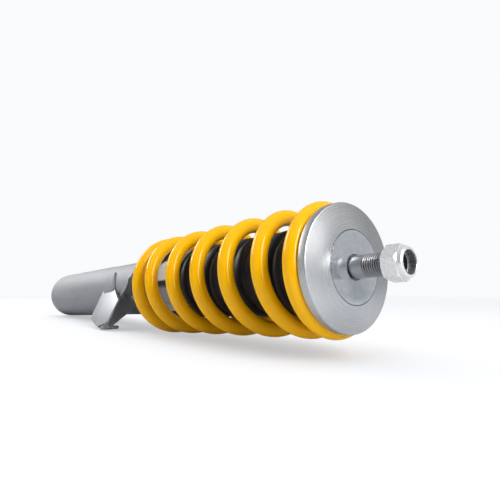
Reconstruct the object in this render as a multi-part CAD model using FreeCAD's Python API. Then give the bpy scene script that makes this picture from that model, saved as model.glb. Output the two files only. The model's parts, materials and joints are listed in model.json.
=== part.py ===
"""Coilover strut: inverted single-tube damper, coil spring and seats, as separate parts.

Units are millimetres. The strut lies along X with its top stud towards +X, and Z is up.
The origin is the centre of the face that the vehicle's top mount sits on.
"""
import FreeCAD, Part
import math
import os

V = FreeCAD.Vector
AXIS = V(1, 0, 0)
ORIGIN = V(0, 0, 0)
FIT = 0.05                      # radial clearance of every running fit

# Spring: right-handed, round wire, closed ends
SPRING_BORE = 65.0
WIRE = 11.0
COIL_R = (SPRING_BORE + WIRE) / 2
LOWER_SEAT_X = -210.2           # plane that the lowest coil stands on
UPPER_SEAT_X = -9.7             # plane that the highest coil presses on
SPRING_START = -92.5            # angle of the lower wire end, in degrees
SPRING_TURNS = 6.75
LOWER_CLOSED = 206.0            # turn of the lower end that lies on its seat
UPPER_CLOSED = 242.0            # turn of the upper end that lies on its seat
CLOSING_ANGLE = 240.0           # turn over which the pitch grows from nothing to full
SEAT_GAP = 0.02
COIL_RISE = UPPER_SEAT_X - LOWER_SEAT_X - 2 * SEAT_GAP - WIRE
SLOPE = COIL_RISE / (360 * SPRING_TURNS - LOWER_CLOSED - UPPER_CLOSED)

# Strut tube
TUBE_R = 27.5                   # sized zone that the knuckle clamps
NECK_R = 27.0                   # rest of the tube, above the clamped zone
NECK_X = -325.0
TUBE_BORE = 25.0
TUBE_END = -485.0
TUBE_ROUND = 8.0
TUBE_FLOOR = 10.0               # thickness of the closed end
TUBE_FILLET = 3.0               # inside corner of the closed end
POCKET_R = 14.0                 # recess for the foot nut in the closed end
POCKET_DEPTH = 9.0
POCKET_WALL = 3.0

# Lower spring seat and the collar that centres the spring
SEAT_R = 40.0
SEAT_T = 3.0
COLLAR_R = 31.2
COLLAR_TOP = -203.0
COLLAR_LIP = 1.0                # wall of the collar over its wiper
WIPER_R = 28.6
WIPER_H = 4.0
WIPER_FRONT = COLLAR_TOP - COLLAR_LIP
TUBE_TOP = WIPER_FRONT - WIPER_H

# Sliding damper body
BODY_R = 24.0
BODY_WALL = 2.1
BODY_BORE = BODY_R - BODY_WALL
BODY_TOP = -12.4
BODY_END = -360.0
TRAVEL = 80.0

# Piston rod, fixed in the tube
ROD_R = 7.0
ROD_THREAD_R = 6.0
PISTON_X = -296.0
PISTON_H = 16.0
PISTON_BOLT_R = 5.0
SHIM_T = 0.6
COMPRESSION_SHIMS = (16.0, 14.5, 13.0, 11.5)
REBOUND_SHIMS = (16.0, 14.0, 12.0)
ROD_SHOULDER = TUBE_END + POCKET_DEPTH + TUBE_FLOOR
GUIDE_X = BODY_END + 5          # lower face of the rod guide, which meets the bump stop
BUMP_R = 17.0
BUMP_TAPER = 1.8
BUSH_H = 22.0                   # length of each plain bearing in the tube
UPPER_BUSH_X = -238.0
LOWER_BUSH_X = -335.0
FREE_PISTON_X = -128.0
FREE_PISTON_H = 14.0
RING_GROOVE = (FREE_PISTON_X + 5, FREE_PISTON_X + 9)
RING_FLOOR_R = BODY_BORE - 2.6
PISTON_GROOVE = (PISTON_X + 4, PISTON_X + 12)
PISTON_GROOVE_R = BODY_BORE - 1.5

# Top stud, nut and upper seat
STUD_R = 7.0
STUD_TIP = 31.0
PILOT_R = 8.0
PILOT_TOP = -2.0
HEAD_H = 12.0                   # depth of the stud's head inside the damper body
THREAD_R = 6.93
THREAD_START = 8.5
THREAD_DEPTH = 0.5
THREAD_PITCH = 1.5
NUT_FLATS = 19.0
NUT_X = 23.0
NUT_HEX_H = 8.5
NUT_END = 36.0
NUT_GROOVE_R = 8.2
RIM_R = 40.2
RIM_BACK = UPPER_SEAT_X
RIM_FRONT = -4.0
RIM_EDGE = 0.8
INSERT_R = 22.8
POCKET_FLOOR = -9.0
HUB_R = 31.5
HUB_BACK = -12.0
BALL_R = 1.5
BALL_RING_R = 16.6
BALL_COUNT = 20
BALL_X = -5.5

# Dust boot
BOOT_R = 29.0
BOOT_VALLEY_R = 26.2
BOOT_WALL = 1.5
BOOT_TOP = -12.2
BOOT_END = -151.0
BOOT_FOLDS = 10

# Link bracket
SHEET = 3.0
LINK_HOLE_R = 4.25
LINK_HOLE = (-265.5, -36.0)     # centre of the hole in X and Y
TAB_ANGLE = 36.0
FOOT_Z = -39.5
FOOT_DEPTH = 17.5
FOOT_LENGTH = 23.0
SIDE_BACK_TOP = (-308.7, -27.3, -1.0)
SIDE_FRONT_TOP = (-281.9, -27.4, 0.9)
SIDE_BACK_END = (-306.3, -41.0, -28.2)
FOOT_BACK = (-277.0, -46.5, -37.2)
FOLD_TOP = (-253.7, -34.4, -10.9)
FOLD_END = (-256.3, -44.8, -32.2)
FRONT_TOP = (-250.5, -23.9, 7.3)
FRONT_INNER = (-239.6, -13.2, -14.2)
FRONT_LOW = (-255.0, -44.4, -37.9)


def turned(points):
    """Solid of revolution about the strut's axis; points are (x, radius)."""
    corners = [V(x, r, 0) for x, r in points]
    outline = Part.makePolygon(corners + corners[:1])
    return Part.Face(outline).revolve(ORIGIN, AXIS, 360)


def ring(x0, x1, bore, radius, edge=0.0):
    """Ring from x0 to x1 with its outer edges chamfered by edge."""
    if edge == 0.0:
        return turned([(x0, bore), (x0, radius), (x1, radius), (x1, bore)])
    inner = radius - edge
    return turned([(x0, bore), (x0, inner), (x0 + edge, radius),
                   (x1 - edge, radius), (x1, inner), (x1, bore)])


def arc_points(x, r, radius, start, end, steps=8):
    """Points of an arc about (x, r), with angles in degrees from +X towards the radius."""
    angles = [start + (end - start) * i / steps for i in range(steps + 1)]
    return [(x + radius * math.cos(math.radians(a)), r + radius * math.sin(math.radians(a)))
            for a in angles]


def hexagon(x0, height, flats, corner=0.0):
    """Hexagonal prism about the axis, from x0 along +X."""
    radius = flats / math.sqrt(3)
    angles = [math.radians(60 * i + 14) for i in range(7)]
    outline = Part.makePolygon([V(x0, radius * math.cos(a), radius * math.sin(a)) for a in angles])
    prism = Part.Face(outline).extrude(V(height, 0, 0))
    if corner == 0.0:
        return prism
    return prism.common(ring(x0, x0 + height, 0.0, radius, corner))


def strut_tube():
    """Deep-drawn tube, closed and rounded at its lower end, with a recess for the foot nut."""
    web_out = TUBE_END + POCKET_DEPTH
    web_in = web_out + TUBE_FLOOR
    floor = TUBE_END + TUBE_FLOOR
    rim = [(TUBE_TOP, TUBE_BORE), (TUBE_TOP, NECK_R), (NECK_X, NECK_R), (NECK_X - 0.5, TUBE_R)]
    outside = arc_points(TUBE_END + TUBE_ROUND, TUBE_R - TUBE_ROUND, TUBE_ROUND, 90, 180)
    pocket = [(TUBE_END, POCKET_R), (web_out, POCKET_R), (web_out, ROD_THREAD_R + FIT)]
    web = [(web_in, ROD_THREAD_R + FIT), (web_in, POCKET_R + POCKET_WALL), (floor, POCKET_R + POCKET_WALL)]
    inside = arc_points(floor + TUBE_FILLET, TUBE_BORE - TUBE_FILLET, TUBE_FILLET, 180, 90)
    return turned(rim + outside + pocket + web + inside)


def lower_spring_seat():
    """Pressed flange that carries the spring, with a rolled outer edge and a short neck."""
    back = LOWER_SEAT_X - SEAT_T
    return turned([(LOWER_SEAT_X, NECK_R), (LOWER_SEAT_X, SEAT_R - 1), (LOWER_SEAT_X - 1, SEAT_R),
                   (back + 1, SEAT_R), (back, SEAT_R - 1), (back, NECK_R + 3.5),
                   (back - 1.5, NECK_R + 2), (back - 1.5, NECK_R)])


def spring_collar():
    """Moulded ring on the mouth of the tube that centres the spring and holds the wiper."""
    bore = BODY_R + 0.6
    return turned([(LOWER_SEAT_X, NECK_R), (LOWER_SEAT_X, COLLAR_R), (COLLAR_TOP - 1.5, COLLAR_R),
                   (COLLAR_TOP, COLLAR_R - 1.5), (COLLAR_TOP, bore), (WIPER_FRONT, bore),
                   (WIPER_FRONT, WIPER_R), (TUBE_TOP, WIPER_R), (TUBE_TOP, NECK_R)])


def wiper_seal():
    """Lip ring that wipes the sliding body where it enters the tube."""
    return turned([(TUBE_TOP, BODY_R + 1.2), (TUBE_TOP, WIPER_R), (WIPER_FRONT, WIPER_R),
                   (WIPER_FRONT, BODY_R + 1.6), (WIPER_FRONT - 1.2, BODY_R + FIT),
                   (WIPER_FRONT - 2.6, BODY_R + FIT)])


def guide_bush(x0):
    """Plain bearing pressed into the tube's bore."""
    return ring(x0, x0 + BUSH_H, BODY_R + FIT, TUBE_BORE)


def piston_rod():
    """Fixed rod, with a threaded foot at the closed end and a reduced nose for the piston."""
    foot = TUBE_END + 1.5
    nose = PISTON_X - SHIM_T * len(REBOUND_SHIMS)
    tip = PISTON_X + PISTON_H + 15
    return turned([(foot, 0), (foot, ROD_THREAD_R - 1), (foot + 1, ROD_THREAD_R),
                   (ROD_SHOULDER, ROD_THREAD_R), (ROD_SHOULDER, ROD_R), (nose, ROD_R),
                   (nose, PISTON_BOLT_R), (tip - 1, PISTON_BOLT_R), (tip, PISTON_BOLT_R - 1), (tip, 0)])


def foot_washer():
    back = TUBE_END + POCKET_DEPTH
    return ring(back - 1.5, back, ROD_THREAD_R + FIT, 11.5, 0.3)


def foot_nut():
    """Hexagon nut that fixes the rod, inside the tube's end recess."""
    height = 7.0
    x0 = TUBE_END + POCKET_DEPTH - 1.5 - height
    return hexagon(x0, height, 18.0, 0.8).cut(ring(x0, x0 + height, 0, ROD_THREAD_R + FIT))


def bump_stop():
    """Stepped rubber stop around the rod, under the sliding body."""
    top = GUIDE_X - TRAVEL
    quarter = (top - ROD_SHOULDER) / 4
    outline = [(ROD_SHOULDER, ROD_R + 0.4), (ROD_SHOULDER, BUMP_R)]
    for step in range(3):
        x = ROD_SHOULDER + (step + 1) * quarter
        radius = BUMP_R - step * BUMP_TAPER
        outline += [(x - 2, radius), (x, radius - 2.8), (x + 2, radius - BUMP_TAPER)]
    outline += [(top, BUMP_R - 3 * BUMP_TAPER), (top, ROD_R + 0.4)]
    return turned(outline)


def shims(x0, direction, radii):
    """Stack of spring-steel washers of the given radii, each one its own solid."""
    stack = []
    for i, radius in enumerate(radii):
        near = x0 + direction * i * SHIM_T
        far = near + direction * SHIM_T
        stack.append(ring(min(near, far), max(near, far), PISTON_BOLT_R + FIT, radius))
    return Part.makeCompound(stack)


def piston():
    """Valved piston: a disc with six oil ports and a groove for its band."""
    near, far = PISTON_GROOVE
    land = BODY_BORE - 0.6
    top = PISTON_X + PISTON_H
    bore = PISTON_BOLT_R + FIT
    body = turned([(PISTON_X, bore), (PISTON_X, land), (near, land), (near, PISTON_GROOVE_R),
                   (far, PISTON_GROOVE_R), (far, land), (top, land), (top, bore)])
    for i in range(6):
        a = math.radians(60 * i)
        port = Part.makeCylinder(2.2, PISTON_H, V(PISTON_X, 12 * math.cos(a), 12 * math.sin(a)), AXIS)
        body = body.cut(port)
    return body


def piston_band():
    return ring(*PISTON_GROOVE, PISTON_GROOVE_R, BODY_BORE - FIT)


def rod_guide():
    """Bush and seal housing that closes the lower end of the sliding body."""
    x0 = GUIDE_X
    return turned([(x0, 12.0), (x0, BODY_BORE), (x0 + 22, BODY_BORE), (x0 + 22, ROD_R + FIT),
                   (x0 + 8, ROD_R + FIT), (x0 + 8, 12.0)])


def rod_seal():
    x0 = GUIDE_X + 1.5
    return turned([(x0, ROD_R + FIT), (x0, 11.9), (x0 + 6.4, 11.9), (x0 + 6.4, ROD_R + 1),
                   (x0 + 4.5, ROD_R + FIT)])


def seal_circlip():
    """Round-wire ring sprung into the body's groove, under the rod guide."""
    return ring(GUIDE_X - 2, GUIDE_X, BODY_BORE - 1.2, BODY_BORE + 0.7, 0.5)


def damper_body():
    """Hard-chromed tube that slides in the strut tube, with a circlip groove at its foot."""
    groove = (GUIDE_X - 2, GUIDE_X)
    return turned([(BODY_END, BODY_BORE + 0.8), (BODY_END, BODY_R - 0.8), (BODY_END + 0.8, BODY_R),
                   (BODY_TOP - 1, BODY_R), (BODY_TOP, BODY_R - 1), (BODY_TOP, BODY_BORE),
                   (groove[1], BODY_BORE), (groove[1], BODY_BORE + 0.7), (groove[0], BODY_BORE + 0.7),
                   (groove[0], BODY_BORE), (BODY_END + 0.8, BODY_BORE)])


def top_stud():
    """Head that closes the top of the body, with the pilot, shank and threaded end in one piece."""
    plug = BODY_TOP - HEAD_H
    minor = THREAD_R - THREAD_DEPTH
    points = [(plug, 0), (plug, BODY_BORE - 1), (plug + 1, BODY_BORE), (BODY_TOP, BODY_BORE),
              (BODY_TOP, PILOT_R), (PILOT_TOP, PILOT_R), (PILOT_TOP, minor), (0, minor), (0, STUD_R),
              (THREAD_START, STUD_R), (THREAD_START, THREAD_R)]
    turns = int((STUD_TIP - 2 - THREAD_START) / THREAD_PITCH)
    for i in range(turns):
        x = THREAD_START + i * THREAD_PITCH
        points += [(x + 0.35 * THREAD_PITCH, minor), (x + 0.65 * THREAD_PITCH, minor),
                   (x + THREAD_PITCH, THREAD_R)]
    end = THREAD_START + turns * THREAD_PITCH
    points += [(end + 0.5, minor), (STUD_TIP, THREAD_R - 1.4), (STUD_TIP, 0)]
    return turned(points)


def piston_nut():
    """Nut that clamps the piston and its shims on the rod's nose."""
    x0 = PISTON_X + PISTON_H + SHIM_T * len(COMPRESSION_SHIMS)
    height = 8.0
    return hexagon(x0, height, 16.0, 0.6).cut(ring(x0, x0 + height, 0, PISTON_BOLT_R + FIT))


def floating_piston():
    """Free piston between the oil and the gas, with an O-ring groove."""
    near, far = RING_GROOVE
    skirt = BODY_BORE - FIT
    top = FREE_PISTON_X + FREE_PISTON_H
    crown = FREE_PISTON_X + 5
    return turned([(FREE_PISTON_X, 0), (FREE_PISTON_X, skirt), (near, skirt), (near, RING_FLOOR_R),
                   (far, RING_FLOOR_R), (far, skirt), (top, skirt), (top, BODY_BORE - 4),
                   (crown, BODY_BORE - 5), (crown, 0)])


def floating_piston_ring():
    """O-ring of the free piston, seated in its groove."""
    return ring(RING_GROOVE[0] + 0.1, RING_GROOVE[1] - 0.1, RING_FLOOR_R, BODY_BORE - 0.01, 0.9)


def upper_spring_seat():
    """Turned aluminium disc with a conical front and a pocket for the top bearing."""
    pocket = INSERT_R + 0.1
    rim = RIM_R - RIM_EDGE
    return turned([(HUB_BACK, 11.0), (HUB_BACK, HUB_R - 0.8), (HUB_BACK + 0.8, HUB_R), (RIM_BACK, HUB_R),
                   (RIM_BACK, rim), (RIM_BACK + RIM_EDGE, RIM_R), (RIM_FRONT - RIM_EDGE, RIM_R),
                   (RIM_FRONT, rim), (0, pocket), (POCKET_FLOOR, pocket), (POCKET_FLOOR, 11.0)])


def bearing_race():
    """Hardened washer under the balls, with a shallow raceway."""
    top = BALL_X - BALL_R
    groove = arc_points(BALL_X, BALL_RING_R, BALL_R + 0.1, 200, 160, 4)
    return turned([(POCKET_FLOOR, 12.4), (POCKET_FLOOR, INSERT_R - 0.4), (top + 0.4, INSERT_R - 0.4)]
                  + [(x, r) for x, r in reversed(groove)] + [(top + 0.4, 12.4)])


def seat_insert():
    """Flanged bush: upper race of the bearing, spacer to the body and seat for the top mount."""
    flange_back = BALL_X + BALL_R - 0.4
    groove = arc_points(BALL_X, BALL_RING_R, BALL_R + 0.1, -20, 20, 4)
    bore = PILOT_R + FIT
    return turned([(BODY_TOP, bore), (BODY_TOP, 10.2), (flange_back, 10.2)]
                  + groove + [(flange_back, INSERT_R), (-0.4, INSERT_R), (0, INSERT_R - 0.4), (0, bore)])


def bearing_cage():
    """Plastic cage that spaces the balls."""
    cage = ring(BALL_X - 0.7, BALL_X + 0.7, BALL_RING_R - 3.0, BALL_RING_R + 3.0)
    for centre in ball_centres():
        cage = cage.cut(Part.makeCylinder(BALL_R + FIT, 4, centre - V(2, 0, 0), AXIS))
    return cage


def ball_centres():
    angles = [2 * math.pi * i / BALL_COUNT for i in range(BALL_COUNT)]
    return [V(BALL_X, BALL_RING_R * math.cos(a), BALL_RING_R * math.sin(a)) for a in angles]


def bearing_balls():
    return Part.makeCompound([Part.makeSphere(BALL_R, centre) for centre in ball_centres()])


def top_nut():
    """Self-locking nut: hexagon, rounded collar and a groove for its nylon ring."""
    shoulder = NUT_X + NUT_HEX_H
    collar = turned([(shoulder, 0), (shoulder, 9.4), (NUT_END - 2.2, 9.2)]
                    + arc_points(NUT_END - 2.2, 7.0, 2.2, 90, 0) + [(NUT_END, 0)])
    blank = hexagon(NUT_X, NUT_HEX_H, NUT_FLATS, 1.0).fuse(collar)
    bore = THREAD_R + FIT
    hollow = turned([(NUT_X, 0), (NUT_X, bore), (shoulder, bore), (shoulder, NUT_GROOVE_R),
                     (NUT_END - 1, NUT_GROOVE_R), (NUT_END - 1, bore), (NUT_END, bore), (NUT_END, 0)])
    return blank.cut(hollow).removeSplitter()


def nut_ring():
    """Nylon locking ring, held in the nut's collar."""
    shoulder = NUT_X + NUT_HEX_H
    return ring(shoulder + 0.1, NUT_END - 1.1, THREAD_R + FIT, NUT_GROOVE_R - FIT)


def dust_boot():
    """Bellows under the upper seat that shields the sliding body."""
    fold = (BOOT_TOP - BOOT_END - 6) / BOOT_FOLDS
    crests = []
    for i in range(BOOT_FOLDS):
        x = BOOT_TOP - 3 - i * fold
        crests += [(x, BOOT_R), (x - 0.62 * fold, BOOT_R), (x - 0.81 * fold, BOOT_VALLEY_R)]
    outer = [(BOOT_TOP, BOOT_R)] + crests + [(BOOT_END + 3, BOOT_R), (BOOT_END, BOOT_R)]
    inner = [(x, r - BOOT_WALL) for x, r in reversed(outer)]
    return turned(outer + inner)


def closing_height(angle):
    """Rise at an angle past the point where the full pitch would start if it began at once."""
    blend = CLOSING_ANGLE / 2
    if angle <= -blend:
        return 0.0
    if angle < blend:
        return SLOPE * (angle + blend) ** 2 / (2 * CLOSING_ANGLE)
    return SLOPE * angle


def spring_height(angle):
    """Height of the wire's centre above the lowest one at an angle from the lower wire end."""
    total = 360 * SPRING_TURNS
    if angle < total / 2:
        return closing_height(angle - LOWER_CLOSED)
    return COIL_RISE - closing_height(total - UPPER_CLOSED - angle)


def main_spring():
    """Round-wire coil spring with closed ends, swept along its own centreline."""
    x0 = LOWER_SEAT_X + SEAT_GAP + WIRE / 2
    step = 15.0
    count = int(360 * SPRING_TURNS / step)
    path = []
    for i in range(count + 1):
        angle = math.radians(-(SPRING_START + i * step))
        path.append(V(x0 + spring_height(i * step), -COIL_R * math.cos(angle), COIL_R * math.sin(angle)))
    curve = Part.BSplineCurve()
    curve.interpolate(path)
    spine = Part.Wire([curve.toShape()])
    tangent = curve.tangent(curve.FirstParameter)[0]
    section = Part.Wire([Part.makeCircle(WIRE / 2, path[0], tangent)])
    return spine.makePipeShell([section], True, True)


def plate(corners, thickness):
    """Flat sheet through the first three corners, thickened along their normal."""
    points = [V(*c) for c in corners]
    normal = (points[1] - points[0]).cross(points[2] - points[0]).normalize()
    flat = [p - normal * (p - points[0]).dot(normal) for p in points]
    return Part.Face(Part.makePolygon(flat + flat[:1])).extrude(normal * thickness)


def saddle_tab():
    """Upper end of the bracket's side panel, rolled to the tube."""
    x0, x1 = SIDE_BACK_TOP[0] + 5, SIDE_FRONT_TOP[0] + 5
    near, far = -NECK_R, -NECK_R - SHEET
    strip = Part.makePolygon([V(x0, near, 0), V(x1, near, 0), V(x1, far, 0), V(x0, far, 0), V(x0, near, 0)])
    return Part.Face(strip).revolve(ORIGIN, V(-1, 0, 0), TAB_ANGLE)


def link_bracket():
    """Folded sheet bracket welded to the tube, with a hole for the link's stud in its foot."""
    side = plate([SIDE_BACK_TOP, SIDE_FRONT_TOP, FOLD_TOP, FOLD_END, FOOT_BACK, SIDE_BACK_END], SHEET)
    front = plate([FRONT_TOP, FRONT_INNER, FRONT_LOW, FOLD_END, FOLD_TOP], SHEET)
    foot = Part.makeBox(FOOT_LENGTH, FOOT_DEPTH, SHEET, V(FOOT_BACK[0], FOOT_BACK[1], FOOT_Z))
    hole = Part.makeCylinder(LINK_HOLE_R, 2 * SHEET, V(LINK_HOLE[0], LINK_HOLE[1], FOOT_Z - 1), V(0, 0, 1))
    sheet = side.fuse([front, foot, saddle_tab()])
    tube = Part.makeCylinder(NECK_R, TUBE_TOP - NECK_X, V(NECK_X, 0, 0), AXIS)
    return sheet.cut(tube.fuse(hole)).removeSplitter()


def build():
    """Every sub-part by name."""
    nodes = {
        "strut_tube": strut_tube(),
        "lower_spring_seat": lower_spring_seat(),
        "link_bracket": link_bracket(),
        "spring_collar": spring_collar(),
        "wiper_seal": wiper_seal(),
        "guide_bush_upper": guide_bush(UPPER_BUSH_X),
        "guide_bush_lower": guide_bush(LOWER_BUSH_X),
        "piston_rod": piston_rod(),
        "foot_washer": foot_washer(),
        "foot_nut": foot_nut(),
        "bump_stop": bump_stop(),
        "piston": piston(),
        "piston_band": piston_band(),
        "compression_shims": shims(PISTON_X + PISTON_H, 1, COMPRESSION_SHIMS),
        "rebound_shims": shims(PISTON_X, -1, REBOUND_SHIMS),
        "piston_nut": piston_nut(),
        "main_spring": main_spring(),
        "upper_spring_seat": upper_spring_seat(),
        "bearing_race": bearing_race(),
        "seat_insert": seat_insert(),
        "bearing_cage": bearing_cage(),
        "bearing_balls": bearing_balls(),
        "damper_body": damper_body(),
        "top_stud": top_stud(),
        "floating_piston": floating_piston(),
        "floating_piston_ring": floating_piston_ring(),
        "rod_guide": rod_guide(),
        "rod_seal": rod_seal(),
        "seal_circlip": seal_circlip(),
        "dust_boot": dust_boot(),
        "top_nut": top_nut(),
        "nut_ring": nut_ring(),
    }
    return nodes


def main():
    os.makedirs("parts", exist_ok=True)
    for name, shape in build().items():
        shape.exportStep("parts/" + name + ".step")
        print(name, "valid" if shape.isValid() else "INVALID", len(shape.Solids), round(shape.Volume, 1))


main()
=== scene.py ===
import bpy
import bmesh
import json
import math
from mathutils import Matrix, Vector


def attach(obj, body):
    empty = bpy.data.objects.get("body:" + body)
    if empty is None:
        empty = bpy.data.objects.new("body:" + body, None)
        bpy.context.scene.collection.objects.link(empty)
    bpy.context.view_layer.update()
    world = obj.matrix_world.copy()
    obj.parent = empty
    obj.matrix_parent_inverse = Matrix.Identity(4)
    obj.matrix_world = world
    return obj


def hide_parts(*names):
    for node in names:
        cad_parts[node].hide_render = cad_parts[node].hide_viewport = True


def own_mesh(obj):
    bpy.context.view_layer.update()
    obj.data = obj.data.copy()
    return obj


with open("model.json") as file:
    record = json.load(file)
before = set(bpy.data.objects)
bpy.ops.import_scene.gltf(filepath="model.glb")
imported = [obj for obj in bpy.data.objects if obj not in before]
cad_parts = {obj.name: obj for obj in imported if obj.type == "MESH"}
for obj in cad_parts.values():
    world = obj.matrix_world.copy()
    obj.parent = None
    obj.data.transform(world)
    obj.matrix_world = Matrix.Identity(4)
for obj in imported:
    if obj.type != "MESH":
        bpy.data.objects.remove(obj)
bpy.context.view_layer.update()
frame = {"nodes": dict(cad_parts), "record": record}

MM = 0.001
TAU = 2 * math.pi
scene = bpy.context.scene

# ---------------------------------------------------------------- dimensions, in millimetres
COIL_R = 38.0
WIRE_R = 5.5
LOWER_SEAT_X = -210.2
UPPER_SEAT_X = -9.7
SPRING_START = -92.5
SPRING_ANGLE = 2430.0
LOWER_CLOSED = 206.0
UPPER_CLOSED = 242.0
CLOSING_ANGLE = 240.0
SEAT_GAP = 0.02
COIL_RISE = UPPER_SEAT_X - LOWER_SEAT_X - 2 * SEAT_GAP - 2 * WIRE_R
SLOPE = COIL_RISE / (SPRING_ANGLE - LOWER_CLOSED - UPPER_CLOSED)

TUBE_R = 27.5
NECK_R = 27.0
NECK_END, CLAMP_TOP = -322.0, -334.0    # ends of the taper between the neck and the clamped zone
TUBE_BORE = 25.0
TUBE_TOP = -208.0
TUBE_END = -485.0
TUBE_ROUND = 8.0
TUBE_FLOOR = 10.0
POCKET_R, POCKET_DEPTH, POCKET_RIM = 14.0, 9.0, 0.8
ROD_HOLE_R = 6.05
SEAT_R = 40.0
SEAT_T = 3.0
COLLAR_R = 31.2
COLLAR_TOP = -203.0
WIPER_R = 28.6
BODY_R = 24.0
BODY_BORE = 21.9
BODY_TOP = -12.4
BODY_END = -360.0
CLIP_TOP, CLIP_END, CLIP_DEPTH = -355.0, -357.0, 0.7    # groove of the seal's circlip
RIM_R = 40.2
RIM_FRONT = -4.0
HUB_R, HUB_BACK = 31.5, -12.0
DISC_BORE, INSERT_R, INSERT_FLOOR = 23.0, 22.6, -9.0
BALL_RING_R, BALL_X, BALL_GROOVE_R = 16.6, -5.5, 1.6
STUD_R, PILOT_R, PILOT_TOP, PILOT_NECK_R = 7.0, 8.0, -2.0, 6.4
BOOT_TOP = -12.2
BOOT_END = -158.0


# ---------------------------------------------------------------- material helpers
class Nodes:
    """A material's node tree, with short calls for the nodes it needs."""

    def __init__(self, name):
        self.material = bpy.data.materials.new(name)
        self.material.use_nodes = True
        self.tree = self.material.node_tree
        self.shader = self.tree.nodes["Principled BSDF"]

    def add(self, kind, values=(), links=(), **settings):
        node = self.tree.nodes.new(kind)
        for key, value in settings.items():
            setattr(node, key, value)
        for key, value in dict(values).items():
            node.inputs[key].default_value = value
        for key, source in dict(links).items():
            self.tree.links.new(source, node.inputs[key])
        return node

    def set(self, **values):
        for key, value in values.items():
            self.shader.inputs[key.replace("_", " ")].default_value = value

    def link(self, name, source):
        self.tree.links.new(source, self.shader.inputs[name])

    def place(self):
        return self.add("ShaderNodeTexCoord").outputs["Object"]

    def noise(self, scale, detail=4.0, stretch=(1, 1, 1), contrast=0.6, shift=(0, 0, 0)):
        """Grey noise whose grain is 1/scale metres, longer where stretch is smaller."""
        spot = self.add("ShaderNodeMapping", {"Scale": stretch, "Location": shift}, {"Vector": self.place()})
        return self.add("ShaderNodeTexNoise", {"Scale": scale, "Detail": detail, "Roughness": contrast},
                        {"Vector": spot.outputs["Vector"]}).outputs["Fac"]

    def radius(self):
        """Distance from the axis, in metres."""
        flat = self.add("ShaderNodeVectorMath", {1: (0, 1, 1)}, {0: self.place()}, operation="MULTIPLY")
        length = self.add("ShaderNodeVectorMath", links={0: flat.outputs[0]}, operation="LENGTH")
        return length.outputs["Value"]

    def rings(self, scale, detail=3.0):
        """Noise that changes only with the distance from the axis and along it, as turning marks do."""
        parts = self.add("ShaderNodeSeparateXYZ", links={"Vector": self.place()})
        along = self.add("ShaderNodeMath", links={0: self.radius(), 1: parts.outputs["X"]}, operation="ADD")
        return self.add("ShaderNodeTexNoise", {"Scale": scale, "Detail": detail},
                        {"W": along.outputs[0]}, noise_dimensions="1D").outputs["Fac"]

    def spread(self, value, low, high, start=0.3, end=0.7):
        """Maps start to low and end to high, and keeps the result between them."""
        limits = {"From Min": start, "From Max": end, "To Min": low, "To Max": high}
        return self.add("ShaderNodeMapRange", limits, {"Value": value}).outputs["Result"]

    def blend(self, factor, first, second):
        """Mixes two colours, each of them three numbers or a node's output."""
        node = self.add("ShaderNodeMix", links={0: factor}, data_type="RGBA")
        for entry, colour in ((6, first), (7, second)):
            if isinstance(colour, tuple):
                node.inputs[entry].default_value = (*colour, 1)
            else:
                self.tree.links.new(colour, node.inputs[entry])
        return node.outputs[2]

    def bump(self, height, strength, depth):
        node = self.add("ShaderNodeBump", {"Strength": strength, "Distance": depth}, {"Height": height})
        self.link("Normal", node.outputs["Normal"])

    def turned(self, amount):
        """Stretches the highlights around the axis, as lathe marks do."""
        self.set(Anisotropic=amount)
        self.link("Tangent", self.add("ShaderNodeTangent", direction_type="RADIAL", axis="X").outputs[0])


TURNING = 2600    # scale of the lathe marks' noise, in grains to the metre


def powder_coat():
    """Glossy yellow powder coat with a faint orange peel."""
    n = Nodes("spring_yellow")
    tone = n.noise(60, 3)
    n.link("Base Color", n.blend(n.spread(tone, 0, 1), (0.83, 0.42, 0.0), (0.87, 0.455, 0.001)))
    n.link("Roughness", n.spread(n.noise(300, 2), 0.17, 0.22))
    n.bump(n.noise(700, 2), 0.10, 0.0004)
    n.set(Specular_IOR_Level=0.26)
    return n.material


def satin_zinc(name, dark, light, roughness, grain=(0.06, 1, 1), metallic=1.0):
    """Zinc-plated steel with faint drawing lines along the axis and cloudy tone."""
    n = Nodes(name)
    clouds = n.noise(70, 5, [max(0.12, g) for g in grain], contrast=0.65)
    lines = n.noise(900, 3, grain)
    tone = n.add("ShaderNodeMath", {1: 0.5}, {0: lines}, operation="MULTIPLY").outputs[0]
    both = n.add("ShaderNodeMath", links={0: tone, 1: clouds}, operation="ADD").outputs[0]
    n.link("Base Color", n.blend(n.spread(both, 0, 1, 0.5, 1.0), dark, light))
    n.link("Roughness", n.spread(clouds, roughness - 0.05, roughness + 0.07))
    n.set(Metallic=metallic)
    n.bump(lines, 0.12, 0.0002)
    return n.material


def turned_metal(name, dark, light, roughness, stretch=0.6):
    """Bare metal with fine lathe marks around the axis."""
    n = Nodes(name)
    rings = n.rings(TURNING, 4)
    clouds = n.noise(40, 5, contrast=0.6)
    n.link("Base Color", n.blend(n.spread(clouds, 0, 1), dark, light))
    n.link("Roughness", n.spread(rings, roughness - 0.04, roughness + 0.05))
    n.set(Metallic=1.0)
    n.turned(stretch)
    n.bump(rings, 0.014, 0.00012)
    return n.material


PAINTED_REFLECTION_BANDS = ((-135, 0.34), (-100, 0.30), (-92, 0.06), (-84, 0.06), (-80, 1.0), (-30, 1.0),
           (20, 0.60), (60, 0.85), (95, 0.12), (130, 0.40))    # angle around the axis and tone of the painted reflection there


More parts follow.
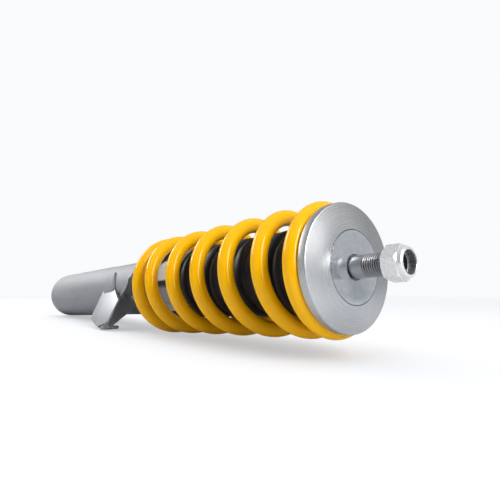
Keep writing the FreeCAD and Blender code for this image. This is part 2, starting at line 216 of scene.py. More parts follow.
def chrome(name):
    """Polished tube with long pale and dark bands painted by angle around the axis, and a faint glow of their
    colour: painted reflections of the strips that it mirrors in a studio, and a painted glow.
    """
    n = Nodes(name)
    parts = n.add("ShaderNodeSeparateXYZ", links={"Vector": n.place()})
    angle = n.add("ShaderNodeMath", links={0: parts.outputs["Y"], 1: parts.outputs["Z"]}, operation="ARCTAN2")
    share = n.spread(angle.outputs[0], 0, 1, -math.pi, math.pi)
    reflection_paint = n.add("ShaderNodeValToRGB", links={"Fac": share})
    ramp = reflection_paint.color_ramp
    ramp.elements[0].color = ramp.elements[1].color = (0.80, 0.82, 0.85, 1)
    for degrees, tone in PAINTED_REFLECTION_BANDS:
        ramp.elements.new(degrees / 360 + 0.5).color = (0.86 * tone, 0.94 * tone, tone, 1)
    n.link("Base Color", reflection_paint.outputs["Color"])
    n.link("Roughness", n.spread(n.rings(4000, 3), 0.36, 0.42))
    # Painted glow: the tube gives off a quarter of its painted reflection's colour, though it is no lamp.
    n.link("Emission Color", reflection_paint.outputs["Color"])
    n.set(Metallic=0.9, Anisotropic_Rotation=0.25, Emission_Strength=0.25)
    n.turned(0.9)
    return n.material


def threaded_steel_painted_shade(name):
    """Turned steel with painted shade in the grooves of its thread: darker as the radius falls towards the
    thread's root.
    """
    n = Nodes(name)
    # Painted shade: nearly black at the thread's root, bare steel at its crests.
    depth = n.spread(n.radius(), 0, 1, 6.25 * MM, 6.85 * MM)
    n.link("Base Color", n.blend(depth, (0.045, 0.045, 0.047), (0.46, 0.465, 0.475)))
    n.link("Roughness", n.spread(n.rings(TURNING, 4), 0.38, 0.47))
    n.set(Metallic=1.0)
    n.turned(0.3)
    return n.material


def speckled_zinc(name, dark, light, roughness):
    """Plated face with the fine spangle of passivated zinc."""
    n = Nodes(name)
    grain = n.noise(260, 5, contrast=0.6)
    clouds = n.noise(70, 3, shift=(0.3, 0.1, 0.2))
    spangle = n.blend(n.spread(grain, 0, 1), dark, light)
    n.link("Base Color", n.blend(n.spread(clouds, 0, 0.5), spangle, dark))
    n.link("Roughness", n.spread(grain, roughness - 0.02, roughness + 0.03))
    n.set(Metallic=0.85)
    n.bump(grain, 0.005, 0.00015)
    return n.material


def moulded(name, dark, light, roughness, scale=500, depth=0.00015):
    """Moulded plastic, rubber or foam with a fine even grain."""
    n = Nodes(name)
    grain = n.noise(scale, 4)
    n.link("Base Color", n.blend(n.spread(n.noise(80, 3), 0, 1), dark, light))
    n.link("Roughness", n.spread(grain, roughness - 0.05, roughness + 0.08))
    n.set(Specular_IOR_Level=0.3)
    n.bump(grain, 0.3, depth)
    return n.material


MATERIALS = {
    "zinc_steel": satin_zinc("zinc_steel", (0.39, 0.40, 0.415), (0.55, 0.56, 0.575), 0.70),
    "bracket_zinc": satin_zinc("bracket_zinc", (0.50, 0.51, 0.525), (0.60, 0.61, 0.625), 0.50, (1, 1, 0.1)),
    # The web, its weld and the saddle get darker copies of the bracket's zinc: painted shade.
    "bracket_painted_shade": satin_zinc("bracket_painted_shade", (0.18, 0.18, 0.185), (0.26, 0.26, 0.265), 0.50, (1, 1, 0.1)),
    "saddle_painted_shade": satin_zinc("saddle_painted_shade", (0.08, 0.08, 0.083), (0.12, 0.12, 0.124), 0.60, (1, 1, 0.1)),
    "weld_steel": satin_zinc("weld_steel", (0.26, 0.26, 0.27), (0.40, 0.40, 0.41), 0.42, (1, 1, 1)),
    "black_plastic": moulded("black_plastic", (0.018, 0.018, 0.019), (0.034, 0.034, 0.036), 0.50),
    "black_rubber": moulded("black_rubber", (0.005, 0.007, 0.011), (0.010, 0.013, 0.019), 0.44, 900),
    "bump_foam": moulded("bump_foam", (0.62, 0.57, 0.42), (0.80, 0.75, 0.58), 0.85, 1500, 0.0004),
    "bush_bronze": turned_metal("bush_bronze", (0.50, 0.33, 0.17), (0.62, 0.43, 0.23), 0.42),
    "hard_chrome": chrome("hard_chrome"),
    "plated_steel": speckled_zinc("plated_steel", (0.68, 0.72, 0.77), (0.83, 0.87, 0.93), 0.15),
    "nut_zinc": satin_zinc("nut_zinc", (0.89, 0.895, 0.90), (0.95, 0.955, 0.96), 0.27, (1, 1, 1), 0.7),
    "nylon": moulded("nylon", (0.10, 0.11, 0.12), (0.16, 0.17, 0.18), 0.45),
    "turned_aluminium": turned_metal("turned_aluminium", (0.64, 0.655, 0.67), (0.72, 0.735, 0.75), 0.29,
                                     0.55),
    "spring_yellow": powder_coat(),
    "stud_steel_painted_groove_shade": threaded_steel_painted_shade("stud_steel_painted_groove_shade"),
    "dark_steel": turned_metal("dark_steel", (0.31, 0.315, 0.325), (0.39, 0.395, 0.405), 0.38, 0.3),
}


# ---------------------------------------------------------------- geometry helpers
def finish_mesh(name, mesh, material, body, stands_for, sharp=32.0):
    """Smooths a new mesh, gives it its finish and hangs it on its body in place of its CAD nodes."""
    mesh.shade_smooth()
    mesh.set_sharp_from_angle(angle=math.radians(sharp))
    mesh.materials.append(MATERIALS[material])
    obj = bpy.data.objects.new(name, mesh)
    scene.collection.objects.link(obj)
    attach(obj, body)
    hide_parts(*stands_for)
    return obj


def mesh_from(name, points, faces):
    """Mesh from points in millimetres, welded and with its normals outwards."""
    mesh = bpy.data.meshes.new(name)
    mesh.from_pydata([[c * MM for c in p] for p in points], [], faces)
    shape = bmesh.new()
    shape.from_mesh(mesh)
    bmesh.ops.remove_doubles(shape, verts=shape.verts, dist=1e-7)
    bmesh.ops.dissolve_degenerate(shape, edges=shape.edges, dist=1e-8)
    bmesh.ops.recalc_face_normals(shape, faces=shape.faces)
    shape.to_mesh(mesh)
    shape.free()
    return mesh


def round_corners(outline, radii, parts=5, most=0.48):
    """Closed outline with each corner rounded by a short curve that takes at most this share of an edge."""
    made = []
    for i, here in enumerate(outline):
        back, ahead = outline[i - 1] - here, outline[(i + 1) % len(outline)] - here
        cut = min(radii[i], most * back.length, most * ahead.length)
        if cut < 1e-4:
            made.append(here)
            continue
        first, last = here + back.normalized() * cut, here + ahead.normalized() * cut
        made += [first * (1 - t) ** 2 + here * 2 * t * (1 - t) + last * t * t
                 for t in [k / parts for k in range(parts + 1)]]
    return made


def soften(profile, radii):
    """Closed (x, r) profile with each corner rounded by its own radius."""
    return [(p.x, p.y) for p in round_corners([Vector(corner) for corner in profile], radii, 4, 0.45)]


def skin(rows, count, closed=False):
    """Faces between rows of points. Each row is a ring of count points, and closed joins last to first."""
    faces = []
    for k in range(rows if closed else rows - 1):
        m = (k + 1) % rows
        faces += [(k * count + i, k * count + (i + 1) % count, m * count + (i + 1) % count, m * count + i)
                  for i in range(count)]
    return faces


def ends(rows, count):
    """Faces that close the first and the last row."""
    return [tuple(range(count)), tuple(range((rows - 1) * count, rows * count))]


def around_axis(x, r, a):
    return (x, r * math.cos(a), r * math.sin(a))


def on_tube(x, r, a):
    """Point on the bracket's side of the tube, at a radians above the horizontal."""
    return (x, -r * math.cos(a), r * math.sin(a))


def turned_mesh(name, profiles):
    """Closed mesh around the axis, with one (x, r) profile for each angle."""
    points = []
    for k, profile in enumerate(profiles):
        points += [around_axis(x, r, TAU * k / len(profiles)) for x, r in profile]
    return mesh_from(name, points, skin(len(profiles), len(profiles[0]), True))


def lathe(name, profile, material, body, stands_for, segments=128, sharp=32.0):
    mesh = turned_mesh(name, [profile] * segments)
    return finish_mesh(name, mesh, material, body, stands_for, sharp)


# ---------------------------------------------------------------- spring
def closing_height(angle):
    """Rise of the wire as its slope grows evenly from nothing, angle being 0 halfway through that."""
    half = CLOSING_ANGLE / 2
    if angle <= -half:
        return 0.0
    if angle < half:
        return SLOPE * (angle + half) ** 2 / (2 * CLOSING_ANGLE)
    return SLOPE * angle


def wire_point(angle):
    """Centre of the wire, in millimetres, at an angle in degrees from its lower end."""
    if angle < SPRING_ANGLE / 2:
        height = closing_height(angle - LOWER_CLOSED)
    else:
        height = COIL_RISE - closing_height(SPRING_ANGLE - UPPER_CLOSED - angle)
    turn = math.radians(SPRING_START + angle)
    return (LOWER_SEAT_X + SEAT_GAP + WIRE_R + height, -COIL_R * math.cos(turn), -COIL_R * math.sin(turn))


def wire_group():
    """Geometry nodes that turn a line of edges into round wire."""
    group = bpy.data.node_groups.new("round_wire", "GeometryNodeTree")
    group.interface.new_socket("Geometry", in_out="INPUT", socket_type="NodeSocketGeometry")
    group.interface.new_socket("Geometry", in_out="OUTPUT", socket_type="NodeSocketGeometry")
    made = {kind: group.nodes.new(kind) for kind in (
        "NodeGroupInput", "GeometryNodeMeshToCurve", "GeometryNodeInputNamedAttribute",
        "GeometryNodeCurvePrimitiveCircle", "GeometryNodeCurveToMesh",
        "GeometryNodeSetShadeSmooth", "GeometryNodeSetMaterial", "NodeGroupOutput")}
    made["GeometryNodeInputNamedAttribute"].data_type = "FLOAT"
    made["GeometryNodeInputNamedAttribute"].inputs["Name"].default_value = "wire_radius"
    made["GeometryNodeCurvePrimitiveCircle"].inputs["Resolution"].default_value = 36
    made["GeometryNodeCurvePrimitiveCircle"].inputs["Radius"].default_value = 1.0
    made["GeometryNodeCurveToMesh"].inputs["Fill Caps"].default_value = True
    made["GeometryNodeSetMaterial"].inputs["Material"].default_value = MATERIALS["spring_yellow"]

    def join(a, b, entry):
        group.links.new(made[a].outputs[0], made[b].inputs[entry])

    join("NodeGroupInput", "GeometryNodeMeshToCurve", "Mesh")
    join("GeometryNodeMeshToCurve", "GeometryNodeCurveToMesh", "Curve")
    join("GeometryNodeInputNamedAttribute", "GeometryNodeCurveToMesh", "Scale")
    join("GeometryNodeCurvePrimitiveCircle", "GeometryNodeCurveToMesh", "Profile Curve")
    join("GeometryNodeCurveToMesh", "GeometryNodeSetShadeSmooth", "Geometry")
    join("GeometryNodeSetShadeSmooth", "GeometryNodeSetMaterial", "Geometry")
    join("GeometryNodeSetMaterial", "NodeGroupOutput", "Geometry")
    return group


def wire_piece(name, angles, radii, body):
    """Length of round wire through the spring's centreline at these angles."""
    mesh = bpy.data.meshes.new(name)
    points = [[c * MM for c in wire_point(a)] for a in angles]
    mesh.from_pydata(points, [(i, i + 1) for i in range(len(points) - 1)], [])
    mesh.attributes.new("wire_radius", "FLOAT", "POINT").data.foreach_set("value", [r * MM for r in radii])
    mesh.materials.append(MATERIALS["spring_yellow"])
    obj = bpy.data.objects.new(name, mesh)
    scene.collection.objects.link(obj)
    obj.modifiers.new("wire", "NODES").node_group = WIRE_GROUP
    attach(obj, body)
    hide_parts("main_spring")
    return obj


WIRE_GROUP = wire_group()
WIRE_STEP = 3.0                     # degrees between points of the centreline
LOWER_JOIN = 294.0                  # the closed coils end here, and the coils that squash lie between
UPPER_JOIN = SPRING_ANGLE - 360.0
STUB = (3.0, 0.01)                  # angles over which a closed coil runs on, thinner, inside the next piece
STUB_R = 0.97 * WIRE_R
TIP = [(0.0, 0.90), (0.15, 0.955), (0.45, 0.99)]    # angle and share of the radius at a cut end
TIP_END = 1.0


def evenly(start, end):
    count = round((end - start) / WIRE_STEP)
    return [start + (end - start) * i / count for i in range(count + 1)]


def build_spring():
    """A closed coil on each seat, and the active coils between them."""
    tip_r = [share * WIRE_R for _, share in TIP]
    coil = evenly(TIP_END, LOWER_JOIN)
    lower = [a for a, _ in TIP] + coil + [LOWER_JOIN + a for a in reversed(STUB)]
    wire_piece("spring_lower_coil", lower, tip_r + [WIRE_R] * len(coil) + [STUB_R] * 2, "strut")
    middle = evenly(LOWER_JOIN, UPPER_JOIN)
    coils = wire_piece("spring_active_coils", middle, [WIRE_R] * len(middle), "strut")
    coil = evenly(UPPER_JOIN, SPRING_ANGLE - TIP_END)
    upper = [UPPER_JOIN - a for a in STUB] + coil + [SPRING_ANGLE - a for a, _ in reversed(TIP)]
    wire_piece("spring_upper_coil", upper, [STUB_R] * 2 + [WIRE_R] * len(coil) + tip_r[::-1], "seat_carrier")
    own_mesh(coils)


# ---------------------------------------------------------------- tube, seats and sleeve
def build_tube():
    """Long tube, rounded and closed at its far end around the recess for the foot nut."""
    outer = [(TUBE_TOP, NECK_R), (NECK_END, NECK_R), (CLAMP_TOP, TUBE_R), (TUBE_END + TUBE_ROUND, TUBE_R)]
    round_x, round_r = TUBE_END + TUBE_ROUND, TUBE_R - TUBE_ROUND
    corner = [(round_x - TUBE_ROUND * math.sin(a), round_r + TUBE_ROUND * math.cos(a))
              for a in [math.radians(9 * i) for i in range(1, 11)]]
    recess, wall_r = TUBE_END + POCKET_DEPTH, POCKET_R + 3
    shoulder = recess + TUBE_FLOOR
    pocket = [(TUBE_END, POCKET_R + POCKET_RIM), (TUBE_END + POCKET_RIM, POCKET_R), (recess, POCKET_R),
              (recess, ROD_HOLE_R), (shoulder, ROD_HOLE_R), (shoulder, wall_r), (recess + 1, wall_r)]
    inner = [(recess + 1, TUBE_BORE - 3), (recess + 4, TUBE_BORE), (TUBE_TOP, TUBE_BORE)]
    lathe("tube_shell", outer + corner + pocket + inner, "zinc_steel", "strut", ["strut_tube"], segments=160)


def build_lower_seat():
    """Thin flange that the lowest coil stands on, with its weld to the tube behind it."""
    back = LOWER_SEAT_X - SEAT_T
    profile = [(LOWER_SEAT_X, NECK_R), (LOWER_SEAT_X, SEAT_R), (back, SEAT_R), (back, NECK_R + 3.5),
               (back - 1.5, NECK_R + 1.6), (back - 1.5, NECK_R)]
    lathe("seat_flange", soften(profile, [0, 1.2, 1.2, 1.5, 0.6, 0]), "bracket_zinc", "strut",
          ["lower_spring_seat"], 160)


def build_collar():
    """Dark sleeve over the tube's mouth, with a pocket for the wiper."""
    bore, lip = BODY_R + 0.6, COLLAR_TOP - 1
    profile = [(LOWER_SEAT_X, NECK_R), (LOWER_SEAT_X, COLLAR_R), (COLLAR_TOP, COLLAR_R), (COLLAR_TOP, bore),
               (lip, bore), (lip, WIPER_R), (TUBE_TOP, WIPER_R), (TUBE_TOP, NECK_R)]
    lathe("tube_collar", soften(profile, [0, 0.4, 1.6, 0.4, 0, 0, 0, 0]), "black_plastic", "strut",
          ["spring_collar"])


def build_body():
    """Chromed tube that slides in the strut, with the groove of its circlip."""
    groove_r = BODY_BORE + CLIP_DEPTH
    profile = [(BODY_END, BODY_BORE + 0.8), (BODY_END, BODY_R), (BODY_TOP, BODY_R), (BODY_TOP, BODY_BORE),
               (CLIP_TOP, BODY_BORE), (CLIP_TOP, groove_r), (CLIP_END, groove_r), (CLIP_END, BODY_BORE)]
    # Its hard_chrome finish carries painted reflections and a painted glow, fixed by angle around the axis.
    lathe("body_tube", soften(profile, [0.3, 0.8, 1.0, 0, 0, 0, 0, 0]), "hard_chrome", "damper",
          ["damper_body"])


def build_upper_seat():
    """Turned disc with a conical front and a pocket for the insert."""
    bore = 11.0
    profile = [(HUB_BACK, bore), (HUB_BACK, HUB_R), (UPPER_SEAT_X, HUB_R), (UPPER_SEAT_X, RIM_R),
               (RIM_FRONT, RIM_R), (0.0, DISC_BORE), (INSERT_FLOOR, DISC_BORE - 0.1), (INSERT_FLOOR, bore)]
    lathe("seat_disc", soften(profile, [0, 0.8, 0.3, 0.8, 0.6, 0.15, 0, 0]), "turned_aluminium",
          "seat_carrier", ["upper_spring_seat"], segments=192)


def build_insert():
    """Flush insert that carries the stud and runs on the ball row."""
    bore, neck_r, back = PILOT_R + 0.05, 10.2, -4.4
    groove = [(BALL_X + BALL_GROOVE_R * math.cos(a), BALL_RING_R + BALL_GROOVE_R * math.sin(a))
              for a in [math.radians(-20 + 10 * i) for i in range(5)]]
    profile = [(BODY_TOP, bore), (BODY_TOP, neck_r), (back, neck_r)] + groove
    profile += [(back, INSERT_R), (0, INSERT_R), (0, bore)]
    corners = [0, 0.3, 0] + [0] * len(groove) + [0.2, 0.06, 0.35]
    lathe("seat_bush", soften(profile, corners), "plated_steel", "damper", ["seat_insert"])


# ---------------------------------------------------------------- link bracket
SHEET = 3.0                         # thickness of the sheet
SHEET_EDGE = 0.6                    # rounding of its cut edges
BEND_R = 2.0
FOLD_TOP = Vector((-253.7, -34.4, -10.9))
FOLD_END = Vector((-256.3, -44.8, -32.2))
WEB_OUT = Vector((0.8326, -0.5309, 0.1579))
SIDE_OUT = Vector((-0.0350, -0.8940, 0.4467))
TO_BEND = -(WEB_OUT + SIDE_OUT) * BEND_R / (1 + WEB_OUT.dot(SIDE_OUT))
HOLE = Vector((-265.5, -36.0, -38.0))
HOLE_R = 4.25
TAB_TURN = 36.0                     # degrees that the tab reaches up the tube
WELD_R = 1.4
WELD_POINT = Vector((-249.8, -23.9, 7.3))
WELD_SLOPE = Vector((0.0, 0.6376, -0.1896))    # how the web's plane runs along x with y and z


def bracket_piece(name, mesh, material, sharp=40):
    """Piece that stands for some of the link bracket."""
    return finish_mesh(name, mesh, material, "strut", ["link_bracket"], sharp)


def sheet(name, outline, radii, outward, material):
    """Flat sheet whose outer face has this outline, with its cut edges rounded over."""
    rim = round_corners(outline, radii)
    shape = bmesh.new()
    face = shape.faces.new([shape.verts.new(p * MM) for p in rim])
    pulled = bmesh.ops.extrude_face_region(shape, geom=[face])["geom"]
    far = [v for v in pulled if isinstance(v, bmesh.types.BMVert)]
    bmesh.ops.translate(shape, verts=far, vec=outward * -SHEET * MM)
    bmesh.ops.recalc_face_normals(shape, faces=shape.faces)
    edges = [e for e in shape.edges if e.calc_face_angle(0) > 1.2]
    bmesh.ops.bevel(shape, geom=edges, offset=SHEET_EDGE * MM, segments=3, affect="EDGES", profile=0.5)
    mesh = bpy.data.meshes.new(name)
    shape.to_mesh(mesh)
    shape.free()
    return bracket_piece(name, mesh, material)


def bead(name, path, radii, material, around=12):
    """Round bar through a line of points, with its own radius at each."""
    points = []
    for i, here in enumerate(path):
        along = (path[min(i + 1, len(path) - 1)] - path[max(i - 1, 0)]).normalized()
        side = along.cross(Vector((0.3, 0.2, 0.93))).normalized()
        up = along.cross(side)
        points += [here + (side * math.cos(TAU * k / around) + up * math.sin(TAU * k / around)) * radii[i]
                   for k in range(around)]
    faces = skin(len(path), around) + ends(len(path), around)
    return bracket_piece(name, mesh_from(name, points, faces), material, 50)


def weld_radii(count, size):
    """Radii of a weld bead: ripples along it, and a taper at both ends."""
    return [size * (0.92 + 0.10 * math.sin(i * 1.25)) * min(1.0, 0.35 + 0.2 * i, 0.35 + 0.2 * (count - 1 - i))
            for i in range(count)]


def build_side_panel():
    """Large face of the bracket, from the tube down to the foot."""
    near = FOLD_TOP + TO_BEND + SIDE_OUT * BEND_R
    far = FOLD_END + TO_BEND + SIDE_OUT * BEND_R
    outline = [Vector((-306.5, -27.3, -1.0)), Vector((-279.0, -27.3, 1.1)), Vector((-266.0, -31.2, -5.9)),
               near, far, Vector((-277.0, -46.5, -37.2)), Vector((-306.3, -41.4, -29.0))]
    sheet("bracket_side", outline, [1.5, 3.5, 8.0, 1.0, 2.0, 5.0, 7.0], SIDE_OUT, "bracket_zinc")


def build_web():
    """Face that stands across the tube's axis, and the bend that joins it to the side panel."""
    near = FOLD_TOP + TO_BEND + WEB_OUT * BEND_R
    far = FOLD_END + TO_BEND + WEB_OUT * BEND_R
    outline = [Vector((-250.0, -23.2, 7.8)), Vector((-251.2, -28.4, -5.1)), near, far,
               Vector((-254.2, -43.6, -37.9)), Vector((-245.9, -25.8, -22.4)), Vector((-239.6, -13.2, -14.2))]
    # The web's darker finish is painted shade.
    sheet("bracket_web", outline, [0.5, 8.5, 2.0, 1.0, 2.0, 10.0, 0.5], WEB_OUT, "bracket_painted_shade")
    bend = [(FOLD_TOP + TO_BEND).lerp(FOLD_END + TO_BEND, t) for t in (-0.01, 0.0, 0.02, 0.98, 1.0, 1.01)]
    radii = [BEND_R - 0.7, BEND_R - 0.3, BEND_R, BEND_R, BEND_R - 0.3, BEND_R - 0.7]
    bead("bracket_bend", bend, radii, "bracket_zinc", 40)


def build_heel():
    """Short turned-in face that joins the lower ends of panel and web to the foot."""
    outline = [Vector((-276.0, -46.2, -37.2)), Vector((-256.8, -44.6, -32.4)), Vector((-253.9, -43.4, -38.0)),
               Vector((-263.5, -46.1, -39.3))]
    heel_out = Vector((0.04, -0.98, 0.20)).normalized()
    sheet("bracket_heel", outline, [0.8, 0.8, 1.5, 4.0], heel_out, "weld_steel")


def build_foot():
    """Foot of the bracket: a flat lobe around its bolt hole."""
    around, power, half_t = 72, 2.6, 1.5
    points = []
    for k in range(around):
        a = TAU * k / around
        c, s = math.cos(a), math.sin(a)
        half_x = 6.1 if c > 0 else 9.2
        half_y = 6.1 if s > 0 else 10.3
        edge = (abs(c / half_x) ** power + abs(s / half_y) ** power) ** (-1 / power)
        upper = [(HOLE_R, 1.1), (HOLE_R + 0.4, half_t), (edge - 0.6, half_t), (edge - 0.18, 1.32),
                 (edge, 0.9)]
        lower = [(r, -z) for r, z in reversed(upper)]
        ring = [lower[-1]] + upper + lower[:-1]
        points += [(HOLE.x + r * c, HOLE.y + r * s, HOLE.z + z) for r, z in ring]
    faces = skin(around, len(ring), True)
    bracket_piece("bracket_foot", mesh_from("bracket_foot", points, faces), "zinc_steel")


def build_tab():
    """Upper edge of the side panel, rolled onto the tube and welded along its end."""
    left, right, below = -301.0, -277.5, 7
    inner, outer = NECK_R - 0.1, NECK_R + 2.4
    points, parts = [], 24
    section = soften([(left, inner), (left, outer), (right, outer), (right, inner)], [0, 0.9, 0.9, 0])
    for k in range(parts + 1):
        a = math.radians(-below + (TAB_TURN + below) * k / parts)
        lean = (k / parts) ** 2
        points += [on_tube(x + (1.5 if x < (left + right) / 2 else -8) * lean, r, a) for x, r in section]
    faces = skin(parts + 1, len(section)) + ends(parts + 1, len(section))
    bracket_piece("bracket_tab", mesh_from("bracket_tab", points, faces), "zinc_steel")


def build_saddle():
    """Flange of the web, rolled onto the tube, with its bright rounded edge."""
    inner, outer, end = NECK_R - 0.1, NECK_R + 2.2, -236.0
    top, turn, knee, knee_x = 23, 40, 16, -244       # degrees, and x of the edge where its curve changes
    points, rim, parts = [], [], 24
    for k in range(parts + 1):
        up = top - turn * k / parts
        start = knee_x + 0.12 * (up - knee) ** 2 if up >= knee else knee_x - 0.0171 * (knee - up) ** 2
        a = math.radians(up)
        section = [(start, inner), (start, outer), (end, outer), (end, inner)]
        points += [on_tube(x, r, a) for x, r in section]
        rim.append(Vector(on_tube(start - 0.3, outer - 0.2, a)))
    faces = skin(parts + 1, 4) + ends(parts + 1, 4)
    # The saddle's near-black finish is painted shade.
    bracket_piece("bracket_saddle", mesh_from("bracket_saddle", points, faces), "saddle_painted_shade")
    bead("bracket_rim", rim, [1.5] * len(rim), "bracket_zinc")


def build_welds():
    """Weld along the tab's upper edge, and the weld that follows the web around the tube."""
    count, start, length = 41, -299.5, 14.0
    line = [Vector(on_tube(start + length * i / (count - 1), NECK_R + 0.4, math.radians(TAB_TURN)))
            for i in range(count)]
    bead("bracket_weld_tab", line, weld_radii(count, WELD_R), "weld_steel")
    line, count, top, turn = [], 90, -14, 34
    for i in range(count):
        foot = Vector(on_tube(0, NECK_R + 0.3, math.radians(top - turn * i / (count - 1))))
        foot.x = WELD_POINT.x + WELD_SLOPE.dot(foot - WELD_POINT)
        line.append(foot)
    # This weld takes the web's darker finish: painted shade.
    bead("bracket_weld_web", line, weld_radii(count, WELD_R), "bracket_painted_shade")


# ---------------------------------------------------------------- boot
def build_boot():
    """Bellows with rounded crests, tight valleys and a plain lip at each end."""
    folds, fine, outer_r, valley_r, wall = 10, 12, 29.7, 27.2, 1.5
    top, bottom = BOOT_TOP - 4.0, BOOT_END + 4.5
    length = (top - bottom) / folds
    outer = [(BOOT_TOP, outer_r - 0.3), (BOOT_TOP - 0.3, outer_r), (top + 0.4, outer_r)]
    for i in range(folds * fine + 1):
        share = i / fine % 1.0
        swell = math.sin(math.pi * share) ** 0.7 if share > 0 else 0.0
        outer.append((top - length * i / fine, valley_r + (outer_r - 0.2 - valley_r) * swell))
    outer += [(bottom - 0.5, outer_r - 0.2), (BOOT_END + 0.5, outer_r), (BOOT_END, outer_r - 0.5)]
    inner = [(x, r - wall) for x, r in reversed(outer)]
    boot = lathe("boot_bellows", outer + inner, "black_rubber", "seat_carrier", ["dust_boot"], sharp=60)
    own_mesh(boot)


# ---------------------------------------------------------------- stud and nut
THREAD_START, THREAD_END, STUD_TIP = 8.0, 30.2, 31.0
PITCH, THREAD_DEPTH, THREAD_R = 1.5, 0.78, 6.95
HEAD_H = 12.0                       # depth of the stud's head inside the damper body


def thread_radius(x, a):
    """Radius of the thread at x and at angle a, fading out at both ends."""
    phase = (x / PITCH - a / TAU) % 1.0
    groove = max(0.0, 1 - abs(phase - 0.5) / 0.42)
    fade = min(1.0, max(0.0, (x - THREAD_START) / PITCH), max(0.0, (THREAD_END + 0.6 - x) / 0.6))
    return THREAD_R - THREAD_DEPTH * min(groove, 0.9) * fade


def build_stud():
    """Head, pilot, plain shank and helical thread of the top stud, as one mesh."""
    around, fine = 96, 12
    head = soften([(BODY_TOP - HEAD_H, 0.0), (BODY_TOP - HEAD_H, BODY_BORE), (BODY_TOP, BODY_BORE),
                   (BODY_TOP, PILOT_R), (PILOT_TOP, PILOT_R), (PILOT_TOP, PILOT_NECK_R), (0.0, PILOT_NECK_R),
                   (0.0, STUD_R), (THREAD_START - 0.3, STUD_R)],
                  [0, 0.8, 0.2, 0.2, 0.3, 0, 0, 0.2, 0])
    rows = [[(x, r)] * around for x, r in head]
    count = round((THREAD_END - THREAD_START) / PITCH * fine)
    for i in range(count + 1):
        x = THREAD_START + (THREAD_END - THREAD_START) * i / count
        rows.append([(x, thread_radius(x, TAU * k / around)) for k in range(around)])
    rows += [[(STUD_TIP - 0.15, 5.75)] * around, [(STUD_TIP, 5.5)] * around, [(STUD_TIP, 0.0)] * around]
    points = [around_axis(x, r, TAU * k / around) for row in rows for k, (x, r) in enumerate(row)]
    mesh = mesh_from("stud_threaded", points, skin(len(rows), around))
    finish_mesh("stud_threaded", mesh, "stud_steel_painted_groove_shade", "damper", ["top_stud"], 28)


def build_nut():
    """Hexagon with turned corners, domed collar and open end."""
    flats, start, hex_end, end = 19.0, 23.0, 33.2, 36.0
    first_corner, chamfer = 44, math.radians(28)
    bore, ring_r, circle, collar_r, dome, around = 6.98, 8.2, 9.35, 9.2, 2.4, 144
    rings = []
    for k in range(around):
        off = (math.degrees(TAU * k / around) - first_corner + 30) % 60 - 30
        corner = flats / 2 / math.cos(math.radians(30 - abs(off)))
        corner = min(corner, flats / math.sqrt(3) * 0.985)
        lift = max(0.0, corner - circle) * math.tan(chamfer)
        flat_in = min(corner, circle)
        ring = [(start + 0.5, bore), (start, bore + 0.5), (start, flat_in - 0.2), (start + 0.08, flat_in),
                (start + lift + 0.05, corner - 0.12), (start + lift + 0.25, corner),
                (hex_end - lift - 0.25, corner), (hex_end - lift - 0.05, corner - 0.12),
                (hex_end - 0.05, flat_in), (hex_end + 0.1, collar_r + 0.08), (end - dome, collar_r)]
        ring += [(end - dome + dome * math.sin(t), collar_r - dome + dome * math.cos(t))
                 for t in [math.radians(12 * i) for i in range(1, 8)]]
        ring += [(end, 7.25), (end - 0.2, bore), (end - 1.0, bore), (end - 1.0, ring_r), (hex_end, ring_r),
                 (hex_end, bore)]
        rings.append(ring)
    finish_mesh("lock_nut", turned_mesh("lock_nut", rings), "nut_zinc", "nut", ["top_nut"], 24)


# ---------------------------------------------------------------- camera, floor and light
LENS, SENSOR = 33.05, 36.0
CAMERA_POINT = Vector((0.1674, -0.2259, -0.0179))
CAMERA_AHEAD = Vector((-0.7547, 0.6466, 0.1111))
CAMERA_UP = Vector((0.1090, -0.0435, 0.9931))


def build_camera():
    """Camera solved from the outlines of the seat, the insert, the coils and the tube."""
    data = bpy.data.cameras.new("view")
    data.lens = LENS
    data.sensor_width = SENSOR
    data.clip_start = 0.01
    data.clip_end = 100.0
    camera = bpy.data.objects.new("view", data)
    scene.collection.objects.link(camera)
    ahead = CAMERA_AHEAD.normalized()
    right = ahead.cross(CAMERA_UP).normalized()
    turn = Matrix((right, right.cross(ahead), -ahead)).transposed().to_4x4()
    camera.matrix_world = Matrix.Translation(CAMERA_POINT) @ turn
    scene.camera = camera


PAPER = (0.955, 0.962, 0.978, 1)
FLOOR_TILT = math.atan(0.0593)
FLOOR_POINT = Vector((-0.210, 0.0, -0.0436))
FLOOR_HALF = 12.0
LAMP_AIM = Vector((-0.12, 0, 0))
DARK_SIDE = Vector((0.80, -0.55, 0.20))    # towards the photographer, where the surroundings are dimmer
MIRRORED_LOSS = 0.4                        # share of the surroundings' light that mirrored light loses


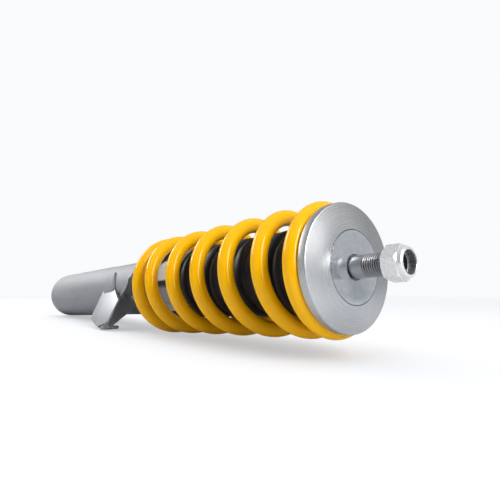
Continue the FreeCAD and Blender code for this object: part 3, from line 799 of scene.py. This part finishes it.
def build_floor():
    """Pale floor under the seat's rim and the tube's closed end. It fades to white far away, and is
    darker to what mirrors it than to the camera, as the photo's floor is."""
    n = Nodes("floor_pale")
    n.set(Roughness=0.9, Specular_IOR_Level=0.1)
    bright = n.add("ShaderNodeBsdfDiffuse", {"Color": (0.72, 0.735, 0.765, 1)})
    glow = n.add("ShaderNodeEmission", {"Color": PAPER, "Strength": 1.0})
    away = n.add("ShaderNodeVectorMath", links={0: n.place()}, operation="LENGTH")
    near, far = 0.35, 1.3
    fade = n.spread(away.outputs["Value"], 0.48, 1, near, far)
    seen = n.add("ShaderNodeMixShader", links={0: fade, 1: bright.outputs[0], 2: glow.outputs[0]})
    path = n.add("ShaderNodeLightPath")
    n.link("Base Color", n.blend(path.outputs["Is Glossy Ray"], (0.74, 0.75, 0.77), (0.42, 0.43, 0.45)))
    whole = n.add("ShaderNodeMixShader", links={0: path.outputs["Is Camera Ray"], 1: n.shader.outputs[0],
                                               2: seen.outputs[0]})
    n.tree.links.new(whole.outputs[0], n.tree.nodes["Material Output"].inputs["Surface"])
    mesh = bpy.data.meshes.new("floor")
    corners = [(x * FLOOR_HALF, y * FLOOR_HALF, 0) for x, y in ((-1, -1), (1, -1), (1, 1), (-1, 1))]
    mesh.from_pydata(corners, [], [(0, 1, 2, 3)])
    mesh.materials.append(n.material)
    floor = bpy.data.objects.new("floor", mesh)
    scene.collection.objects.link(floor)
    floor.matrix_world = Matrix.Translation(FLOOR_POINT) @ Matrix.Rotation(FLOOR_TILT, 4, "Y")


def softbox(name, place, size, power, long_axis, mirrored=True):
    """Rectangular lamp that faces the spring, with its second size along long_axis. One that isn't
    mirrored lights the object and leaves no bright patch in its polished faces."""
    data = bpy.data.lights.new(name, "AREA")
    data.shape = "RECTANGLE"
    data.size, data.size_y = size
    data.energy = power
    light = bpy.data.objects.new(name, data)
    scene.collection.objects.link(light)
    light.visible_glossy = mirrored
    back = (Vector(place) - LAMP_AIM).normalized()
    side = Vector(long_axis).cross(back).normalized()
    turn = Matrix((side, back.cross(side), back)).transposed().to_4x4()
    light.matrix_world = Matrix.Translation(Vector(place)) @ turn


def build_light():
    """Surroundings that are paper white to the camera, dimmer on the photographer's side to everything
    else and dimmest in mirrored light, with one large box overhead and three small ones."""
    world = bpy.data.worlds.new("studio")
    scene.world = world
    world.use_nodes = True
    tree = world.node_tree
    add = tree.nodes.new
    seen, felt = tree.nodes["Background"], add("ShaderNodeBackground")
    mix, path = add("ShaderNodeMixShader"), add("ShaderNodeLightPath")
    place, facing, shade = add("ShaderNodeTexCoord"), add("ShaderNodeVectorMath"), add("ShaderNodeMapRange")
    facing.operation = "DOT_PRODUCT"
    facing.inputs[1].default_value = DARK_SIDE.normalized()
    shade.interpolation_type = "SMOOTHSTEP"
    for key, value in {"From Min": 0.45, "From Max": 0.92, "To Min": 0.62, "To Max": 0.05}.items():
        shade.inputs[key].default_value = value
    seen.inputs["Color"].default_value = PAPER
    felt.inputs["Color"].default_value = (0.97, 0.985, 1, 1)
    tree.links.new(place.outputs["Generated"], facing.inputs[0])
    tree.links.new(facing.outputs["Value"], shade.inputs["Value"])
    dim = add("ShaderNodeMath")
    dim.operation = "MULTIPLY_ADD"
    dim.inputs[1].default_value = -MIRRORED_LOSS
    dim.inputs[2].default_value = 1.0
    strength = add("ShaderNodeMath")
    strength.operation = "MULTIPLY"
    tree.links.new(path.outputs["Is Glossy Ray"], dim.inputs[0])
    tree.links.new(dim.outputs[0], strength.inputs[0])
    tree.links.new(shade.outputs["Result"], strength.inputs[1])
    tree.links.new(strength.outputs[0], felt.inputs["Strength"])
    tree.links.new(path.outputs["Is Camera Ray"], mix.inputs[0])
    tree.links.new(felt.outputs[0], mix.inputs[1])
    tree.links.new(seen.outputs[0], mix.inputs[2])
    tree.links.new(mix.outputs[0], tree.nodes["World Output"].inputs[0])
    softbox("top_box", (-0.25, 0.0, 1.3), (2.6, 2.2), 17, (0, 1, 0), mirrored=False)
    softbox("left_box", (-1.07, -0.34, 0.66), (0.14, 0.65), 5.5, (0.0, 0.85, 0.52))
    softbox("end_box", (0.92, -0.06, 0.50), (0.24, 0.75), 10, (-0.2, 0.3, 0.93))
    softbox("cone_box", (0.93, 0.34, 0.33), (0.35, 0.35), 0.5, (0, 0, 1))
    scene.view_settings.view_transform = "Standard"


def paint_cad_nodes():
    """Gives each carried-over CAD node the finish of its own material slot."""
    slots = {row["node"]: row["material_slot"] for row in frame["record"]["subparts"]}
    for name, obj in frame["nodes"].items():
        obj.data.materials.clear()
        # The hard_chrome slot carries painted reflections and a painted glow, so the CAD nodes in that slot
        # get them too.
        obj.data.materials.append(MATERIALS[slots[name]])


paint_cad_nodes()
build_spring()
build_tube()
build_lower_seat()
build_collar()
build_body()
build_upper_seat()
build_insert()
build_side_panel()
build_web()
build_heel()
build_foot()
build_tab()
build_saddle()
build_welds()
build_boot()
build_stud()
build_nut()
build_camera()
build_floor()
build_light()
